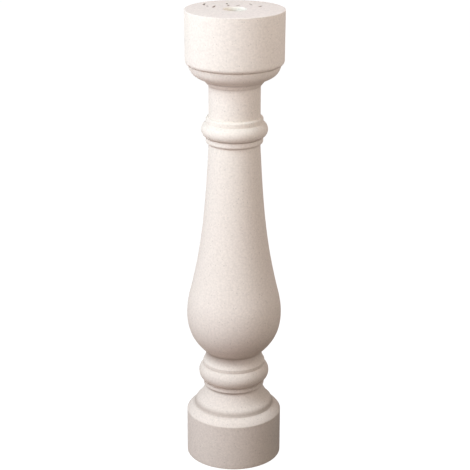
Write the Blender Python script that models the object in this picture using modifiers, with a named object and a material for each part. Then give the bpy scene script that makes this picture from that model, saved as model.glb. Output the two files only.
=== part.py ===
"""A stone baluster for a balustrade, cast in one piece and turned about its upright axis.

From the foot it has a plain round plinth with a weathered ledge, a bell, a base torus, a cove, a
tapering vase-shaped body, a ring of mouldings, a short neck, a bowl and a plain round cap with a
dowel socket in its top bed. The axis is +Z, and the origin is the centre of the underside.
"""
import math

import bpy
from mathutils import Vector
from mathutils.geometry import interpolate_bezier

# Plinth: a plain drum, with a sloping ledge that sheds water and a short step above it
PLINTH_RADIUS = 0.0750
PLINTH_HEIGHT = 0.0738
PLINTH_ARRIS = 0.0006
LEDGE_WIDTH = 0.0119
LEDGE_HEIGHT = 0.0106
LEDGE_SWELL = 0.0008
LEDGE_ARRIS = 0.0020
STEP_LEAN = 0.0028
STEP_HEIGHT = 0.0072

# Bell: a hollow flare between the step and the base fillet
BELL_SETBACK = 0.0033
BELL_HEIGHT = 0.0272
BELL_HOLLOW = 0.0024

# Base fillet and torus; each quirk is the narrow groove that parts two mouldings
QUIRK_DEPTH = 0.0012
BASE_FILLET_RADIUS = 0.0480
BASE_FILLET_HEIGHT = 0.0077
BASE_TORUS_HEIGHT = 0.0271
BASE_TORUS_SWELL = 0.0076

# Cove: rises from the torus to the crease under the bulb
COVE_SPREAD = 0.0053
COVE_FILLET_HEIGHT = 0.0056
COVE_HEIGHT = 0.0159
COVE_HOLLOW = 0.0012

# Body: a bulb that rounds in below, and a long taper above it
WAIST_RADIUS = 0.0436
BULB_RADIUS = 0.0740
BULB_HEIGHT = 0.0649
BULB_FULLNESS = 0.57
BULB_FOOT_FULLNESS = 0.18
SHOULDER_RADIUS = 0.0690
SHOULDER_HEIGHT = 0.0368
SHOULDER_SLOPE = 0.248
SHOULDER_FULLNESS = 0.365
TAPER_HEIGHT = 0.2401
TAPER_TOP_SLOPE = 0.050
TAPER_TOP_FULLNESS = 0.45
TAPER_FOOT_FULLNESS = 0.31

# Ring: the round-footed lower fillet, a torus and the round-headed upper fillet on the neck
RING_LOWER_FILLET_PROJECTION = 0.0043
RING_LOWER_FILLET_HEIGHT = 0.0094
RING_LOWER_FILLET_ARRIS = 0.0036
RING_TORUS_FOOT_PROJECTION = 0.0025
RING_TORUS_HEIGHT = 0.0231
RING_TORUS_SWELL = 0.0080
RING_UPPER_FILLET_PROJECTION = 0.0044
RING_UPPER_FILLET_HEIGHT = 0.0088
RING_UPPER_FILLET_ARRIS = 0.0035

# Neck, the splayed collar at its head, and the bowl
NECK_RADIUS = 0.0393
NECK_HEIGHT = 0.0475
COLLAR_FOOT_PROJECTION = 0.0003
COLLAR_HEIGHT = 0.0085
COLLAR_TOP_RADIUS = 0.0466
BOWL_SETBACK = 0.0046
BOWL_HEIGHT = 0.0228
BOWL_HEAD_SLOPE = 0.29
BOWL_HEAD_FULLNESS = 0.61
BOWL_FOOT_SLOPE = 0.48
BOWL_FOOT_FULLNESS = 0.60

# Cap: a plain drum with a slight draft, and the dowel socket in its top bed
CAP_STEP = 0.0008
CAP_FOOT_RADIUS = 0.0745
CAP_TOP_RADIUS = 0.0750
CAP_HEIGHT = 0.0822
CAP_TOP_ARRIS = 0.0008
CAP_FOOT_ARRIS = 0.0066
SOCKET_RADIUS = 0.0172
SOCKET_DEPTH = 0.0600

# Levels, each stacked on the member below it
STEP_FOOT = PLINTH_HEIGHT + LEDGE_HEIGHT
BELL_FOOT = STEP_FOOT + STEP_HEIGHT
BASE_FILLET_FOOT = BELL_FOOT + BELL_HEIGHT
BASE_TORUS_FOOT = BASE_FILLET_FOOT + BASE_FILLET_HEIGHT
COVE_FILLET_FOOT = BASE_TORUS_FOOT + BASE_TORUS_HEIGHT
COVE_FOOT = COVE_FILLET_FOOT + COVE_FILLET_HEIGHT
WAIST_LEVEL = COVE_FOOT + COVE_HEIGHT
BULB_LEVEL = WAIST_LEVEL + BULB_HEIGHT
SHOULDER_LEVEL = BULB_LEVEL + SHOULDER_HEIGHT
RING_FOOT = SHOULDER_LEVEL + TAPER_HEIGHT
RING_TORUS_FOOT = RING_FOOT + RING_LOWER_FILLET_HEIGHT
RING_UPPER_FILLET_FOOT = RING_TORUS_FOOT + RING_TORUS_HEIGHT
NECK_FOOT = RING_UPPER_FILLET_FOOT + RING_UPPER_FILLET_HEIGHT
COLLAR_FOOT = NECK_FOOT + NECK_HEIGHT
BOWL_FOOT = COLLAR_FOOT + COLLAR_HEIGHT
CAP_FOOT = BOWL_FOOT + BOWL_HEIGHT + CAP_STEP
CAP_TOP = CAP_FOOT + CAP_HEIGHT

# Finish: pale warm cast stone
STONE_COLOUR = (0.80, 0.72, 0.65, 1.0)
STONE_ROUGHNESS = 0.92

TURNING_STEPS = 48
SHARP_EDGE = math.radians(28)
MERGE_DISTANCE = 0.00005


def clear_scene():
    for item in list(bpy.context.scene.objects):
        bpy.data.objects.remove(item, do_unlink=True)


def bowed(start, end, rise, pieces):
    """Points on the circular arc from start down to end; its middle stands out by rise."""
    start = Vector(start)
    end = Vector(end)
    chord = end - start
    half = chord.length / 2
    radius = (half * half + rise * rise) / (2 * rise)
    outward = Vector((-chord.y, chord.x)).normalized()
    centre = (start + end) / 2 + outward * (rise - radius)
    turn = -4 * math.atan(rise / half)
    arm = start - centre
    points = []
    for step in range(pieces + 1):
        angle = turn * step / pieces
        across = arm.x * math.cos(angle) - arm.y * math.sin(angle)
        along = arm.x * math.sin(angle) + arm.y * math.cos(angle)
        points.append((centre.x + across, centre.y + along))
    return points


def swept(start, start_pull, end_pull, end, pieces):
    """Points on the smooth curve from start to end, drawn out towards the two pulls."""
    ends = [Vector((point[0], point[1], 0)) for point in (start, start_pull, end_pull, end)]
    return [(point.x, point.y) for point in interpolate_bezier(*ends, pieces + 1)]


def rounded(radius, level, arris, start_angle, pieces):
    """Points on a quarter-round arris inside the corner (radius, level), from start_angle down."""
    upper = start_angle > 0
    centre = (radius - arris, level - arris if upper else level + arris)
    points = []
    for step in range(pieces + 1):
        angle = math.radians(start_angle - 90 * step / pieces)
        points.append((centre[0] + arris * math.cos(angle), centre[1] + arris * math.sin(angle)))
    return points


def cap_outline():
    """Socket floor and wall, top bed, drum side and the plain soffit under it."""
    floor = CAP_TOP - SOCKET_DEPTH
    points = [(0, floor), (SOCKET_RADIUS, floor), (SOCKET_RADIUS, CAP_TOP)]
    points += rounded(CAP_TOP_RADIUS, CAP_TOP, CAP_TOP_ARRIS, 90, 3)
    points += rounded(CAP_FOOT_RADIUS, CAP_FOOT, CAP_FOOT_ARRIS, 0, 3)
    return points


def bowl_outline():
    """The bowl rounds in under the cap to a splayed collar at the head of the neck."""
    head = (CAP_FOOT_RADIUS - BOWL_SETBACK, CAP_FOOT - CAP_STEP)
    foot = (COLLAR_TOP_RADIUS + QUIRK_DEPTH / 2, BOWL_FOOT + QUIRK_DEPTH / 2)
    head_pull = BOWL_HEIGHT * BOWL_HEAD_FULLNESS
    foot_pull = BOWL_HEIGHT * BOWL_FOOT_FULLNESS
    points = swept(
        head,
        (head[0] - head_pull * BOWL_HEAD_SLOPE, head[1] - head_pull),
        (foot[0] + foot_pull, foot[1] + foot_pull * BOWL_FOOT_SLOPE),
        foot,
        8,
    )
    points.append((COLLAR_TOP_RADIUS, BOWL_FOOT))
    points.append((NECK_RADIUS + COLLAR_FOOT_PROJECTION, COLLAR_FOOT))
    points.append((NECK_RADIUS, COLLAR_FOOT))
    return points


def ring_outline():
    """Round-headed fillet, torus and round-footed fillet, which stand out from the neck."""
    upper = NECK_RADIUS + RING_UPPER_FILLET_PROJECTION
    lower = NECK_RADIUS + RING_LOWER_FILLET_PROJECTION
    torus_foot = NECK_RADIUS + RING_TORUS_FOOT_PROJECTION
    points = [(NECK_RADIUS, NECK_FOOT)]
    points += rounded(upper, NECK_FOOT, RING_UPPER_FILLET_ARRIS, 90, 4)
    points += bowed((upper, RING_UPPER_FILLET_FOOT), (torus_foot, RING_TORUS_FOOT), RING_TORUS_SWELL, 8)
    points.append((lower, RING_TORUS_FOOT))
    points += rounded(lower, RING_FOOT, RING_LOWER_FILLET_ARRIS, 0, 4)
    return points


def body_outline():
    """The long taper swells to the bulb, which rounds in to the crease at the waist."""
    taper_head = (NECK_RADIUS, RING_FOOT)
    shoulder = (SHOULDER_RADIUS, SHOULDER_LEVEL)
    widest = (BULB_RADIUS, BULB_LEVEL)
    waist = (WAIST_RADIUS, WAIST_LEVEL)
    head_pull = TAPER_HEIGHT * TAPER_TOP_FULLNESS
    foot_pull = TAPER_HEIGHT * TAPER_FOOT_FULLNESS
    turn_pull = SHOULDER_HEIGHT * SHOULDER_FULLNESS
    waist_pull = BULB_HEIGHT * BULB_FOOT_FULLNESS
    points = swept(
        taper_head,
        (NECK_RADIUS + head_pull * TAPER_TOP_SLOPE, RING_FOOT - head_pull),
        (SHOULDER_RADIUS - foot_pull * SHOULDER_SLOPE, SHOULDER_LEVEL + foot_pull),
        shoulder,
        10,
    )
    points += swept(
        shoulder,
        (SHOULDER_RADIUS + turn_pull * SHOULDER_SLOPE, SHOULDER_LEVEL - turn_pull),
        (BULB_RADIUS, BULB_LEVEL + turn_pull),
        widest,
        4,
    )[1:]
    points += swept(
        widest,
        (BULB_RADIUS, BULB_LEVEL - BULB_HEIGHT * BULB_FULLNESS),
        (WAIST_RADIUS + waist_pull, WAIST_LEVEL + waist_pull),
        waist,
        8,
    )[1:]
    return points


def base_outline():
    """Cove, fillet, base torus, base fillet and bell."""
    cove_radius = WAIST_RADIUS + COVE_SPREAD
    torus_foot = (BASE_FILLET_RADIUS - QUIRK_DEPTH, BASE_TORUS_FOOT)
    bell_head = (BASE_FILLET_RADIUS - BELL_SETBACK, BASE_FILLET_FOOT)
    bell_foot = (PLINTH_RADIUS - LEDGE_WIDTH - STEP_LEAN, BELL_FOOT)
    points = bowed((WAIST_RADIUS, WAIST_LEVEL), (cove_radius, COVE_FOOT), -COVE_HOLLOW, 4)[1:]
    points += bowed((cove_radius, COVE_FILLET_FOOT), torus_foot, BASE_TORUS_SWELL, 8)
    points.append((BASE_FILLET_RADIUS, BASE_TORUS_FOOT - QUIRK_DEPTH / 2))
    points.append((BASE_FILLET_RADIUS, BASE_FILLET_FOOT + QUIRK_DEPTH))
    points += bowed(bell_head, bell_foot, -BELL_HOLLOW, 5)
    return points


def plinth_outline():
    """Step, sloping ledge with a rounded edge, drum side and underside."""
    ledge_head = (PLINTH_RADIUS - LEDGE_WIDTH, STEP_FOOT)
    ledge_edge = (PLINTH_RADIUS - LEDGE_ARRIS / 2, PLINTH_HEIGHT + LEDGE_ARRIS / 2)
    points = bowed(ledge_head, ledge_edge, LEDGE_SWELL, 3)
    points += bowed(ledge_edge, (PLINTH_RADIUS, PLINTH_HEIGHT - LEDGE_ARRIS), LEDGE_ARRIS / 5, 2)[1:]
    points += rounded(PLINTH_RADIUS, 0, PLINTH_ARRIS, 0, 2)
    points.append((0, 0))
    return points


def outline():
    """The whole outline, down the outer side from the socket to the centre of the underside."""
    head = cap_outline() + bowl_outline() + ring_outline()
    foot = base_outline() + plinth_outline()
    return head + body_outline() + foot


def stone():
    material = bpy.data.materials.new("cast_stone")
    material.use_nodes = True
    shader = material.node_tree.nodes["Principled BSDF"]
    shader.inputs["Base Color"].default_value = STONE_COLOUR
    shader.inputs["Roughness"].default_value = STONE_ROUGHNESS
    shader.inputs["Metallic"].default_value = 0.0
    return material


def turned(name, points, collection):
    """A solid turned about the Z axis from an outline of (radius, height) points."""
    mesh = bpy.data.meshes.new(name)
    edges = [(index, index + 1) for index in range(len(points) - 1)]
    mesh.from_pydata([(radius, 0, height) for radius, height in points], edges, [])
    solid = bpy.data.objects.new(name, mesh)
    collection.objects.link(solid)
    screw = solid.modifiers.new("turn", "SCREW")
    screw.axis = "Z"
    screw.steps = TURNING_STEPS
    screw.render_steps = TURNING_STEPS
    screw.use_merge_vertices = True
    screw.merge_threshold = MERGE_DISTANCE
    graph = bpy.context.evaluated_depsgraph_get()
    solid.data = bpy.data.meshes.new_from_object(solid.evaluated_get(graph))
    solid.modifiers.clear()
    solid.data.shade_smooth()
    solid.data.set_sharp_from_angle(angle=SHARP_EDGE)
    return solid


def baluster(collection):
    solid = turned("baluster", outline(), collection)
    solid.data.materials.append(stone())
    return solid


clear_scene()
parts = bpy.data.collections.new("stone_baluster")
bpy.context.scene.collection.children.link(parts)
baluster(parts)
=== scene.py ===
"""A turned stone baluster on a pale floor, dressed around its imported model. Lengths are in metres."""
import math

import bmesh
import bpy
from mathutils import Matrix, Vector, noise
from mathutils.geometry import interpolate_bezier


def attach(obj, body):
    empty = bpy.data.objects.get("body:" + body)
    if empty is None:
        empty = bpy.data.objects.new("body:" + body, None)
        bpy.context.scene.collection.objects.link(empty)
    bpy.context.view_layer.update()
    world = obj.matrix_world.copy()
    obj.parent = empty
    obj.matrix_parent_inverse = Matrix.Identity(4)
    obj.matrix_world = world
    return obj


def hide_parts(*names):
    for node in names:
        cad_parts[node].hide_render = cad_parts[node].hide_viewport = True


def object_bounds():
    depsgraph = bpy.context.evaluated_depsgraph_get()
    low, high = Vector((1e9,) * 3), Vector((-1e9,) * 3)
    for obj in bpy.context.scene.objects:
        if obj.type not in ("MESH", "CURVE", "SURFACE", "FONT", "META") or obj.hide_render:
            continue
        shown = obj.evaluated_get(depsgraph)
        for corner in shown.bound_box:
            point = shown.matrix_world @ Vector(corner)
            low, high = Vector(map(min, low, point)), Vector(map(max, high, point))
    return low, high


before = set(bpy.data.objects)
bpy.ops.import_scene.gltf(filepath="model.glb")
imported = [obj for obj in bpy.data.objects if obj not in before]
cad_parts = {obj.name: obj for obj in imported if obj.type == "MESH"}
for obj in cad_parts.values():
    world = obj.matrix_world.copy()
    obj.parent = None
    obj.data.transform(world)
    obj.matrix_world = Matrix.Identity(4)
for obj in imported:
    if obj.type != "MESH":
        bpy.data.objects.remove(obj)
cad_low, cad_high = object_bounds()

# Camera
# A long lens on a stand two metres off, a little higher than the head of the baluster and tipped
# down at it, so that the top bed and both long sides show.
CAMERA_PLACE = (0.0012, -2.0804, 1.1007)
CAMERA_TIP = math.radians(19.40)
CAMERA_ROLL = math.radians(0.18)
CAMERA_LENS = 109.0

camera_data = bpy.data.cameras.new("camera")
camera_data.lens = CAMERA_LENS
camera = bpy.data.objects.new("camera", camera_data)
bpy.context.scene.collection.objects.link(camera)
tipped = Matrix.Rotation(math.pi / 2 - CAMERA_TIP, 4, "X")
camera.matrix_world = Matrix.Translation(CAMERA_PLACE) @ tipped @ Matrix.Rotation(CAMERA_ROLL, 4, "Z")
bpy.context.scene.camera = camera

# Baluster
# One casting of reconstituted stone, fine crushed stone bound with pale cement, with no joint in it.
# Its outline was struck by turning the pattern about the upright axis, so every moulding is a ring.
# The outline is set out here from the socket in the top bed down to the centre of the underside.
head = cad_high.z
PLINTH_RADIUS = cad_high.x
QUIRK_DEPTH = 0.0012


def bowed(start, end, rise, pieces):
    """Points on the circular arc from start down to end; its middle stands out by rise."""
    start = Vector(start)
    end = Vector(end)
    chord = end - start
    half = chord.length / 2
    radius = (half * half + rise * rise) / (2 * rise)
    outward = Vector((-chord.y, chord.x)).normalized()
    centre = (start + end) / 2 + outward * (rise - radius)
    turn = -4 * math.atan(rise / half)
    arm = start - centre
    points = []
    for step in range(pieces + 1):
        swung = arm.copy()
        swung.rotate(Matrix.Rotation(turn * step / pieces, 2))
        points.append(tuple(centre + swung))
    return points


def swept(start, start_pull, end_pull, end, pieces):
    """Points on the smooth curve from start to end, drawn out towards the two pulls."""
    ends = [Vector((point[0], point[1], 0)) for point in (start, start_pull, end_pull, end)]
    return [(point.x, point.y) for point in interpolate_bezier(*ends, pieces + 1)]


def arris(corner, radius, start_angle, pieces):
    """Points on a quarter-round edge of the given radius inside an outer corner, from start_angle down."""
    drop = -radius if start_angle > 0 else radius
    centre = Vector((corner[0] - radius, corner[1] + drop))
    points = []
    for step in range(pieces + 1):
        angle = math.radians(start_angle - 90 * step / pieces)
        points.append((centre.x + radius * math.cos(angle), centre.y + radius * math.sin(angle)))
    return points


# Cap: a plain drum with a slight draft, and the dowel socket on the axis of its top bed
SOCKET_RADIUS = 0.0172
SOCKET_DEPTH = 0.0600
SOCKET_MOUTH_ARRIS = 0.0010
SOCKET_MOUTH_FULLNESS = 0.3
CAP_TOP_RADIUS = 0.0750
CAP_FOOT_RADIUS = 0.0745
CAP_HEIGHT = 0.0822
CAP_TOP_ARRIS = 0.0008
CAP_FOOT_ARRIS = 0.0066
BED_MARGIN = 0.0010

cap_foot = head - CAP_HEIGHT
mouth_step = SOCKET_MOUTH_ARRIS * SOCKET_MOUTH_FULLNESS
socket_outline = [
    (0, head - SOCKET_DEPTH),
    (SOCKET_RADIUS, head - SOCKET_DEPTH),
    (SOCKET_RADIUS, head - SOCKET_MOUTH_ARRIS),
    (SOCKET_RADIUS + mouth_step, head - mouth_step),
    (SOCKET_RADIUS + SOCKET_MOUTH_ARRIS, head),
    (SOCKET_RADIUS + SOCKET_MOUTH_ARRIS + BED_MARGIN, head),
]
outline = [(CAP_TOP_RADIUS - CAP_TOP_ARRIS - BED_MARGIN, head)]
outline += arris((CAP_TOP_RADIUS, head), CAP_TOP_ARRIS, start_angle=90, pieces=6)
outline += arris((CAP_FOOT_RADIUS, cap_foot), CAP_FOOT_ARRIS, start_angle=0, pieces=8)

# Bowl: rounds in under the cap to a splayed collar at the head of the neck
CAP_STEP = 0.0008
BOWL_SETBACK = 0.0046
BOWL_HEIGHT = 0.0228
BOWL_HEAD_SLOPE = 0.29
BOWL_HEAD_FULLNESS = 0.61
BOWL_FOOT_SLOPE = 0.48
BOWL_FOOT_FULLNESS = 0.60
COLLAR_TOP_RADIUS = 0.0466
COLLAR_HEIGHT = 0.0085
COLLAR_FOOT_PROJECTION = 0.0003
NECK_RADIUS = 0.0393

bowl_head = cap_foot - CAP_STEP
bowl_foot = bowl_head - BOWL_HEIGHT
collar_foot = bowl_foot - COLLAR_HEIGHT
bowl_start = Vector((CAP_FOOT_RADIUS - BOWL_SETBACK, bowl_head))
bowl_end = Vector((COLLAR_TOP_RADIUS + QUIRK_DEPTH / 2, bowl_foot + QUIRK_DEPTH / 2))
outline += swept(
    bowl_start,
    bowl_start - BOWL_HEIGHT * BOWL_HEAD_FULLNESS * Vector((BOWL_HEAD_SLOPE, 1)),
    bowl_end + BOWL_HEIGHT * BOWL_FOOT_FULLNESS * Vector((1, BOWL_FOOT_SLOPE)),
    bowl_end,
    pieces=24,
)
outline += [
    (COLLAR_TOP_RADIUS, bowl_foot),
    (NECK_RADIUS + COLLAR_FOOT_PROJECTION, collar_foot),
    (NECK_RADIUS, collar_foot),
]

# Neck and ring: a round-headed fillet, a torus and a round-footed fillet stand out from the neck
NECK_HEIGHT = 0.0475
RING_UPPER_FILLET_PROJECTION = 0.0044
RING_UPPER_FILLET_HEIGHT = 0.0088
RING_UPPER_FILLET_ARRIS = 0.0035
RING_TORUS_FOOT_PROJECTION = 0.0025
RING_TORUS_HEIGHT = 0.0231
RING_TORUS_SWELL = 0.0080
RING_LOWER_FILLET_PROJECTION = 0.0043
RING_LOWER_FILLET_HEIGHT = 0.0094
RING_LOWER_FILLET_ARRIS = 0.0036

neck_foot = collar_foot - NECK_HEIGHT
ring_torus_head = neck_foot - RING_UPPER_FILLET_HEIGHT
ring_torus_foot = ring_torus_head - RING_TORUS_HEIGHT
ring_foot = ring_torus_foot - RING_LOWER_FILLET_HEIGHT
upper_fillet = NECK_RADIUS + RING_UPPER_FILLET_PROJECTION
lower_fillet = NECK_RADIUS + RING_LOWER_FILLET_PROJECTION
outline.append((NECK_RADIUS, neck_foot))
outline += arris((upper_fillet, neck_foot), RING_UPPER_FILLET_ARRIS, start_angle=90, pieces=8)
outline += bowed(
    (upper_fillet, ring_torus_head),
    (NECK_RADIUS + RING_TORUS_FOOT_PROJECTION, ring_torus_foot),
    RING_TORUS_SWELL,
    pieces=20,
)
outline.append((lower_fillet, ring_torus_foot))
outline += arris((lower_fillet, ring_foot), RING_LOWER_FILLET_ARRIS, start_angle=0, pieces=8)

# Body: a long taper swells to the bulb, which rounds in to the crease at the waist
TAPER_HEIGHT = 0.2401
TAPER_TOP_SLOPE = 0.050
TAPER_TOP_FULLNESS = 0.45
TAPER_FOOT_FULLNESS = 0.31
SHOULDER_RADIUS = 0.0690
SHOULDER_HEIGHT = 0.0368
SHOULDER_SLOPE = 0.248
SHOULDER_FULLNESS = 0.365
BULB_RADIUS = 0.0740
BULB_HEIGHT = 0.0649
BULB_FULLNESS = 0.57
BULB_FOOT_FULLNESS = 0.18
WAIST_RADIUS = 0.0436

shoulder = Vector((SHOULDER_RADIUS, ring_foot - TAPER_HEIGHT))
widest = Vector((BULB_RADIUS, shoulder.y - SHOULDER_HEIGHT))
waist = Vector((WAIST_RADIUS, widest.y - BULB_HEIGHT))
taper_head = Vector((NECK_RADIUS, ring_foot))
outline += swept(
    taper_head,
    taper_head + TAPER_HEIGHT * TAPER_TOP_FULLNESS * Vector((TAPER_TOP_SLOPE, -1)),
    shoulder + TAPER_HEIGHT * TAPER_FOOT_FULLNESS * Vector((-SHOULDER_SLOPE, 1)),
    shoulder,
    pieces=64,
)
outline += swept(
    shoulder,
    shoulder + SHOULDER_HEIGHT * SHOULDER_FULLNESS * Vector((SHOULDER_SLOPE, -1)),
    widest + SHOULDER_HEIGHT * SHOULDER_FULLNESS * Vector((0, 1)),
    widest,
    pieces=12,
)[1:]
outline += swept(
    widest,
    widest + BULB_HEIGHT * BULB_FULLNESS * Vector((0, -1)),
    waist + BULB_HEIGHT * BULB_FOOT_FULLNESS * Vector((1, 1)),
    waist,
    pieces=32,
)[1:]

# Cove, base torus and base fillet, each parted from the next by a narrow quirk
COVE_HEIGHT = 0.0159
COVE_SPREAD = 0.0053
COVE_HOLLOW = 0.0012
COVE_FILLET_HEIGHT = 0.0056
BASE_TORUS_HEIGHT = 0.0271
BASE_TORUS_SWELL = 0.0076
BASE_FILLET_RADIUS = 0.0480
BASE_FILLET_HEIGHT = 0.0077

cove_foot = waist.y - COVE_HEIGHT
base_torus_head = cove_foot - COVE_FILLET_HEIGHT
base_torus_foot = base_torus_head - BASE_TORUS_HEIGHT
base_fillet_foot = base_torus_foot - BASE_FILLET_HEIGHT
cove_radius = WAIST_RADIUS + COVE_SPREAD
outline += bowed(waist, (cove_radius, cove_foot), -COVE_HOLLOW, pieces=8)[1:]
outline += bowed(
    (cove_radius, base_torus_head),
    (BASE_FILLET_RADIUS - QUIRK_DEPTH, base_torus_foot),
    BASE_TORUS_SWELL,
    pieces=24,
)
outline += [
    (BASE_FILLET_RADIUS, base_torus_foot - QUIRK_DEPTH / 2),
    (BASE_FILLET_RADIUS, base_fillet_foot + QUIRK_DEPTH),
]

# Bell and plinth: a hollow flare, a short step, a sloping ledge that sheds water, and the drum
BELL_SETBACK = 0.0033
BELL_HEIGHT = 0.0272
BELL_HOLLOW = 0.0024
STEP_HEIGHT = 0.0072
STEP_LEAN = 0.0028
LEDGE_WIDTH = 0.0119
LEDGE_HEIGHT = 0.0106
LEDGE_SWELL = 0.0008
LEDGE_ARRIS = 0.0020
LEDGE_ARRIS_SWELL = 0.0004
PLINTH_ARRIS = 0.0006

step_head = base_fillet_foot - BELL_HEIGHT
ledge_head = step_head - STEP_HEIGHT
plinth_head = ledge_head - LEDGE_HEIGHT
ledge_edge = (PLINTH_RADIUS - LEDGE_ARRIS / 2, plinth_head + LEDGE_ARRIS / 2)
outline += bowed(
    (BASE_FILLET_RADIUS - BELL_SETBACK, base_fillet_foot),
    (PLINTH_RADIUS - LEDGE_WIDTH - STEP_LEAN, step_head),
    -BELL_HOLLOW,
    pieces=14,
)
outline += bowed((PLINTH_RADIUS - LEDGE_WIDTH, ledge_head), ledge_edge, LEDGE_SWELL, pieces=6)
outline += bowed(ledge_edge, (PLINTH_RADIUS, plinth_head - LEDGE_ARRIS), LEDGE_ARRIS_SWELL, pieces=4)[1:]
outline += arris((PLINTH_RADIUS, 0), PLINTH_ARRIS, start_angle=0, pieces=3)
outline.append((0, 0))

# Turning: long runs get rings of their own, and both outlines are swung about the axis
RING_SPACING = 0.0045
TURNING_STEPS = 224
MERGE_DISTANCE = 0.00005
SHARP_EDGE = math.radians(28)


def ringed(points, spacing):
    """The same outline, with points added along every run that is longer than the spacing."""
    filled = [points[0]]
    for start, end in zip(points, points[1:]):
        start = Vector(start)
        end = Vector(end)
        count = max(1, math.ceil((end - start).length / spacing))
        filled += [tuple(start.lerp(end, step / count)) for step in range(1, count + 1)]
    return filled


# The flat of the top bed stays open between the outlines; the socket's wall is marked for painted light, a
# paler colour standing in for the light that falls into it
struck = bmesh.new()
painted_shade = struck.verts.layers.float.new("painted_shade")
socket_painted_light = struck.verts.layers.float.new("socket_painted_light")
for points in (socket_outline, outline):
    drawn = [struck.verts.new((point[0], 0, point[1])) for point in ringed(points, RING_SPACING)]
    for upper, lower in zip(drawn, drawn[1:]):
        struck.edges.new((upper, lower))
    for vertex in drawn:
        vertex[socket_painted_light] = float(points is socket_outline and vertex.co.z < head)
bmesh.ops.spin(
    struck,
    geom=struck.verts[:] + struck.edges[:],
    cent=(0, 0, 0),
    axis=(0, 0, 1),
    angle=math.tau,
    steps=TURNING_STEPS,
    use_merge=True,
)
bmesh.ops.remove_doubles(struck, verts=struck.verts, dist=MERGE_DISTANCE)

# Marks: plain shallow strokes behind the socket, sunk as the top bed is filled in round them
MARK_DEPTH = 0.0024
MARK_WIDTH = 0.0032
MARK_ARRIS = 0.0003
MARK_FLOOR_INSET = 0.0004
MARK_END_STEPS = 6
MARK_LIP_PAINTED_SHADE = 0.7
MARK_FLOOR_PAINTED_SHADE = 1.0

# Each mark is (place across, place behind the axis, length, turn in degrees)
MARKS = [
    (-0.046, 0.038, 0.017, 84),
    (-0.041, 0.023, 0.009, 112),
    (-0.031, 0.019, 0.017, 78),
    (-0.012, 0.043, 0.011, 95),
    (-0.010, 0.028, 0.011, 74),
    (0.005, 0.029, 0.013, 60),
    (0.024, 0.037, 0.014, 108),
    (0.038, 0.022, 0.012, 66),
]


def stroke(length, width, swing, centre):
    """Corners of a bar with round ends, anticlockwise, lying in the top bed."""
    corners = []
    for side in (1, -1):
        for step in range(MARK_END_STEPS + 1):
            angle = math.pi * (step / MARK_END_STEPS - 0.5)
            along = side * ((length - width) / 2 + width / 2 * math.cos(angle))
            corner = Vector((along, side * width / 2 * math.sin(angle)))
            corner.rotate(Matrix.Rotation(math.radians(swing), 2))
            corners.append((centre[0] + corner.x, centre[1] + corner.y, head))
    return corners


rims = [edge for edge in struck.edges if edge.is_boundary]
floors = []
for across, back, length, swing in MARKS:
    loop = [struck.verts.new(corner) for corner in stroke(length, MARK_WIDTH, swing, (across, back))]
    floors.append(struck.faces.new(loop))
    rims += floors[-1].edges[:]
bmesh.ops.triangle_fill(struck, edges=rims, use_dissolve=False, normal=(0, 0, 1))
# Each stroke's lip and floor take painted shade, a darker colour for the shade that falls inside the
# recess
for bottom in floors:
    for narrowing, sinking, painted_shade_amount in (
        (MARK_ARRIS, MARK_ARRIS, MARK_LIP_PAINTED_SHADE),
        (MARK_FLOOR_INSET, MARK_DEPTH, MARK_FLOOR_PAINTED_SHADE),
    ):
        bmesh.ops.inset_region(struck, faces=[bottom], thickness=narrowing, depth=-sinking)
        for vertex in bottom.verts:
            vertex[painted_shade] = painted_shade_amount
bmesh.ops.recalc_face_normals(struck, faces=struck.faces)

# Painted shade: a brown darkening in the creases and on the step face, strongest on the key light's side
# and weakest away from it
KEY_SIDE_DIRECTION = math.radians(210)
KEY_SIDE_MEAN = 0.55
KEY_SIDE_SWING = 0.75
FAR_SIDE_SHARE = 0.2
WAIST_SHADE_DROP = 0.0005
BELL_SHADE_DROP = 0.0006
STEP_REACH = 0.0075
STEP_PAINTED_SHADE = 0.62

# Each crease is (radius, height, reach of the painted shade, share of full painted shade on the key
# light's side)
CREASES = [
    (CAP_FOOT_RADIUS - CAP_FOOT_ARRIS, bowl_head, 0.0030, 0.34),
    (COLLAR_TOP_RADIUS, bowl_foot, 0.0022, 0.75),
    (NECK_RADIUS, collar_foot, 0.0040, 0.36),
    (lower_fillet, ring_torus_foot, 0.0022, 0.28),
    (NECK_RADIUS, ring_foot, 0.0022, 0.68),
    (WAIST_RADIUS, waist.y - WAIST_SHADE_DROP, 0.0125, 0.88),
    (cove_radius, base_torus_head, 0.0030, 0.22),
    (BASE_FILLET_RADIUS, base_torus_foot, 0.0028, 0.66),
    (BASE_FILLET_RADIUS - BELL_SETBACK, base_fillet_foot - BELL_SHADE_DROP, 0.0046, 1.0),
]

step_middle = Vector((PLINTH_RADIUS - LEDGE_WIDTH - STEP_LEAN / 2, (step_head + ledge_head) / 2))
for vertex in struck.verts:
    radius = math.hypot(vertex.co.x, vertex.co.y)
    bearing = math.atan2(vertex.co.y, vertex.co.x) - KEY_SIDE_DIRECTION
    key_side_share = min(max(KEY_SIDE_MEAN + KEY_SIDE_SWING * math.cos(bearing), FAR_SIDE_SHARE), 1)
    for crease_radius, crease_height, reach, share in CREASES:
        apart = math.hypot(radius - crease_radius, vertex.co.z - crease_height)
        vertex[painted_shade] = max(vertex[painted_shade], key_side_share * share * (1 - apart / reach))
    apart = math.hypot(radius - step_middle.x, vertex.co.z - step_middle.y)
    vertex[painted_shade] = max(vertex[painted_shade], STEP_PAINTED_SHADE * (1 - apart / STEP_REACH))

# Hand of the caster: faces are a hair uneven, always inward of the true outline
UNEVEN_DEPTH = 0.00016
UNEVEN_PER_METRE = 38

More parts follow.
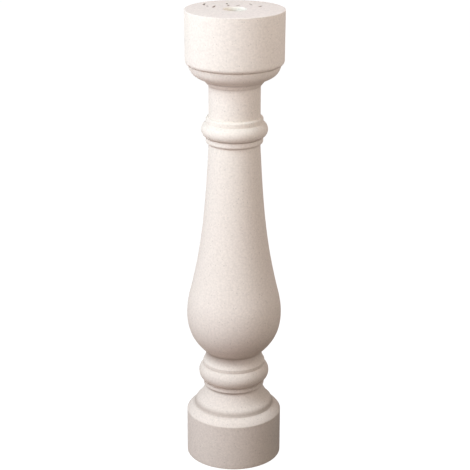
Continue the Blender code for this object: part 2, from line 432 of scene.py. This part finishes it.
struck.normal_update()
moves = []
for vertex in struck.verts:
    unevenness = (noise.noise(vertex.co * UNEVEN_PER_METRE) + 1) / 2
    moves.append(vertex.normal * UNEVEN_DEPTH * min(max(unevenness, 0), 1))
for vertex, move in zip(struck.verts, moves):
    vertex.co -= move

stone_mesh = bpy.data.meshes.new("baluster_stone")
struck.to_mesh(stone_mesh)
struck.free()
stone_mesh.shade_smooth()
stone_mesh.set_sharp_from_angle(angle=SHARP_EDGE)
stone = bpy.data.objects.new("baluster_stone", stone_mesh)
bpy.context.scene.collection.objects.link(stone)

# Finish: pale warm stone, matt, clouded from pink to cream, with a fine grain and small pinholes; painted
# light makes the socket paler, and brown painted shade lies in the creases, the mark recesses and on the
# step
STONE_PINK = (0.80, 0.715, 0.655, 1)
STONE_CREAM = (0.80, 0.735, 0.655, 1)
SOCKET_PAINTED_LIGHT = (0.92, 0.86, 0.77, 1)
PAINTED_SHADE_BROWN = (0.42, 0.35, 0.30, 1)
STONE_ROUGHNESS = 0.92
STONE_SHEEN = 0.25
CLOUD_PER_METRE = 11
CLOUD_DETAIL = 4
GRAIN_PER_METRE = 330
GRAIN_DETAIL = 3
GRAIN_READING = (0.25, 0.75)
GRAIN_SHADE = (0.90, 1.07)
GRAIN_HEIGHT = 0.0002
PINHOLES_PER_METRE = 170
PINHOLE_READING = (0.06, 0.17)
PINHOLE_SHADE = 0.76

finish = bpy.data.materials.new("cast_stone")
finish.use_nodes = True
nodes = finish.node_tree.nodes
link = finish.node_tree.links.new
shader = nodes["Principled BSDF"]
shader.inputs["Roughness"].default_value = STONE_ROUGHNESS
shader.inputs["Specular IOR Level"].default_value = STONE_SHEEN

place = nodes.new("ShaderNodeTexCoord")
cloud = nodes.new("ShaderNodeTexNoise")
cloud.inputs["Scale"].default_value = CLOUD_PER_METRE
cloud.inputs["Detail"].default_value = CLOUD_DETAIL
tint = nodes.new("ShaderNodeMix")
tint.data_type = "RGBA"
tint.inputs["A"].default_value = STONE_PINK
tint.inputs["B"].default_value = STONE_CREAM
# Painted light: the socket's wall is lifted to a paler cream for the light falling into it
socket_light_mask = nodes.new("ShaderNodeAttribute")
socket_light_mask.attribute_name = "socket_painted_light"
socket_lit = nodes.new("ShaderNodeMix")
socket_lit.data_type = "RGBA"
socket_lit.inputs["B"].default_value = SOCKET_PAINTED_LIGHT
# Painted shade: brown mixed in by the marked amount in the creases, the mark recesses and on the step face
painted_shade_amount = nodes.new("ShaderNodeAttribute")
painted_shade_amount.attribute_name = "painted_shade"
painted_shade_mix = nodes.new("ShaderNodeMix")
painted_shade_mix.data_type = "RGBA"
painted_shade_mix.inputs["B"].default_value = PAINTED_SHADE_BROWN
grain = nodes.new("ShaderNodeTexNoise")
grain.inputs["Scale"].default_value = GRAIN_PER_METRE
grain.inputs["Detail"].default_value = GRAIN_DETAIL
grain_shade = nodes.new("ShaderNodeMapRange")
grain_shade.inputs["From Min"].default_value = GRAIN_READING[0]
grain_shade.inputs["From Max"].default_value = GRAIN_READING[1]
grain_shade.inputs["To Min"].default_value = GRAIN_SHADE[0]
grain_shade.inputs["To Max"].default_value = GRAIN_SHADE[1]
pinholes = nodes.new("ShaderNodeTexVoronoi")
pinholes.inputs["Scale"].default_value = PINHOLES_PER_METRE
pinhole_shade = nodes.new("ShaderNodeMapRange")
pinhole_shade.inputs["From Min"].default_value = PINHOLE_READING[0]
pinhole_shade.inputs["From Max"].default_value = PINHOLE_READING[1]
pinhole_shade.inputs["To Min"].default_value = PINHOLE_SHADE
pinhole_shade.inputs["To Max"].default_value = 1.0
shade = nodes.new("ShaderNodeMath")
shade.operation = "MULTIPLY"
toned = nodes.new("ShaderNodeVectorMath")
toned.operation = "SCALE"
relief = nodes.new("ShaderNodeBump")
relief.inputs["Distance"].default_value = GRAIN_HEIGHT

link(place.outputs["Object"], cloud.inputs["Vector"])
link(place.outputs["Object"], grain.inputs["Vector"])
link(place.outputs["Object"], pinholes.inputs["Vector"])
link(cloud.outputs["Fac"], tint.inputs["Factor"])
link(tint.outputs["Result"], socket_lit.inputs["A"])
link(socket_light_mask.outputs["Fac"], socket_lit.inputs["Factor"])
link(socket_lit.outputs["Result"], painted_shade_mix.inputs["A"])
link(painted_shade_amount.outputs["Fac"], painted_shade_mix.inputs["Factor"])
link(grain.outputs["Fac"], grain_shade.inputs["Value"])
link(pinholes.outputs["Distance"], pinhole_shade.inputs["Value"])
link(grain_shade.outputs["Result"], shade.inputs[0])
link(pinhole_shade.outputs["Result"], shade.inputs[1])
link(painted_shade_mix.outputs["Result"], toned.inputs[0])
link(shade.outputs["Value"], toned.inputs["Scale"])
link(toned.outputs["Vector"], shader.inputs["Base Color"])
link(grain.outputs["Fac"], relief.inputs["Height"])
link(relief.outputs["Normal"], shader.inputs["Normal"])

stone.data.materials.append(finish)

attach(stone, "root")
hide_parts("baluster")

# Floor
# A white studio floor that sweeps up into a rounded wall all the way round, like a lit cove. It glows
# to the camera, throws no light back up at the stone, and lies a hair clear of the stone's underside.
FLOOR_EYE = 0.001
FLOOR_PULL = 5.0
WALL_RADIUS = 6.5
WALL_HEIGHT = 6.0
FLOOR_LEVEL = -0.0003
FLOOR_TURNING_STEPS = 96
FLOOR_WHITE = (0.12, 0.12, 0.12, 1)
FLOOR_ROUGHNESS = 1.0
FLOOR_LIGHT = (1, 1, 1, 1)
FLOOR_GLOW = 1.0

floor_mesh = bpy.data.meshes.new("studio_floor")
sweep = swept((FLOOR_EYE, 0), (FLOOR_PULL, 0), (WALL_RADIUS, 0), (WALL_RADIUS, WALL_HEIGHT), pieces=24)
floor_points = [(out, 0, up + FLOOR_LEVEL) for out, up in sweep]
floor_edges = [(step, step + 1) for step in range(len(sweep) - 1)]
floor_mesh.from_pydata(floor_points, floor_edges, [])
floor = bpy.data.objects.new("studio_floor", floor_mesh)
bpy.context.scene.collection.objects.link(floor)
turn = floor.modifiers.new("turn", "SCREW")
turn.steps = FLOOR_TURNING_STEPS
turn.render_steps = FLOOR_TURNING_STEPS
turn.use_smooth_shade = True
floor.visible_diffuse = False
floor.visible_shadow = False

paint = bpy.data.materials.new("floor_white")
paint.use_nodes = True
paint_shader = paint.node_tree.nodes["Principled BSDF"]
paint_shader.inputs["Base Color"].default_value = FLOOR_WHITE
paint_shader.inputs["Roughness"].default_value = FLOOR_ROUGHNESS
paint_shader.inputs["Specular IOR Level"].default_value = 0
paint_shader.inputs["Emission Color"].default_value = FLOOR_LIGHT
paint_shader.inputs["Emission Strength"].default_value = FLOOR_GLOW
floor.data.materials.append(paint)

# Lights
# Soft boxes on stands round the baluster: a large one high up on the left, a small one low beside it,
# two weak ones on the right and one straight above. Light off the warm walls fills in the rest.
AIM = Vector((0, 0, 0.45))

# Each box is (name, place, width, watts, colour), and is turned to face the aim
SOFT_BOXES = [
    ("key", (-0.995, -0.575, 1.414), 0.9, 19.3, (0.72, 0.90, 1.0)),
    ("low_left", (-0.700, -0.700, 0.589), 0.6, 4.60, (1.0, 0.92, 0.97)),
    ("front_right", (0.457, -0.791, 0.857), 0.6, 2.52, (0.97, 1.0, 0.98)),
    ("right", (0.740, -0.198, 1.093), 0.6, 2.10, (1.0, 0.98, 0.95)),
    ("top", (0, 0, 1.45), 0.6, 2.04, (0.93, 0.86, 1.0)),
]

for name, spot, width, power, colour in SOFT_BOXES:
    lamp = bpy.data.lights.new(name, "AREA")
    lamp.shape = "SQUARE"
    lamp.size = width
    lamp.energy = power
    lamp.color = colour
    box = bpy.data.objects.new(name, lamp)
    box.location = spot
    box.rotation_euler = (AIM - Vector(spot)).to_track_quat("-Z", "Y").to_euler()
    bpy.context.scene.collection.objects.link(box)

# Black card: felt on board, stood low on the right, unseen, to keep part of the light off the plinth
CARD_PLACE = (0.150, -0.030, 0.044)
CARD_LONG = 0.36
CARD_TALL = 0.088
CARD_BLACK = (0.02, 0.02, 0.02, 1)
CARD_ROUGHNESS = 1.0

card_mesh = bpy.data.meshes.new("black_card")
cut = bmesh.new()
bmesh.ops.create_grid(cut, x_segments=1, y_segments=1, size=0.5)
cut.transform(Matrix.Rotation(math.pi / 2, 4, "Y") @ Matrix.Diagonal((CARD_TALL, CARD_LONG, 1, 1)))
cut.to_mesh(card_mesh)
cut.free()
card = bpy.data.objects.new("black_card", card_mesh)
card.location = CARD_PLACE
card.visible_camera = False
bpy.context.scene.collection.objects.link(card)
felt = bpy.data.materials.new("black_felt")
felt.use_nodes = True
felt_shader = felt.node_tree.nodes["Principled BSDF"]
felt_shader.inputs["Base Color"].default_value = CARD_BLACK
felt_shader.inputs["Roughness"].default_value = CARD_ROUGHNESS
card.data.materials.append(felt)

# Walls: the warm light that comes off them from all sides
WALL_LIGHT = (1.0, 0.715, 0.57, 1)
WALL_LIGHT_STRENGTH = 0.205

walls = bpy.data.worlds.new("walls")
walls.use_nodes = True
glow = walls.node_tree.nodes["Background"]
glow.inputs["Color"].default_value = WALL_LIGHT
glow.inputs["Strength"].default_value = WALL_LIGHT_STRENGTH
bpy.context.scene.world = walls
bpy.context.scene.view_settings.view_transform = "Standard"
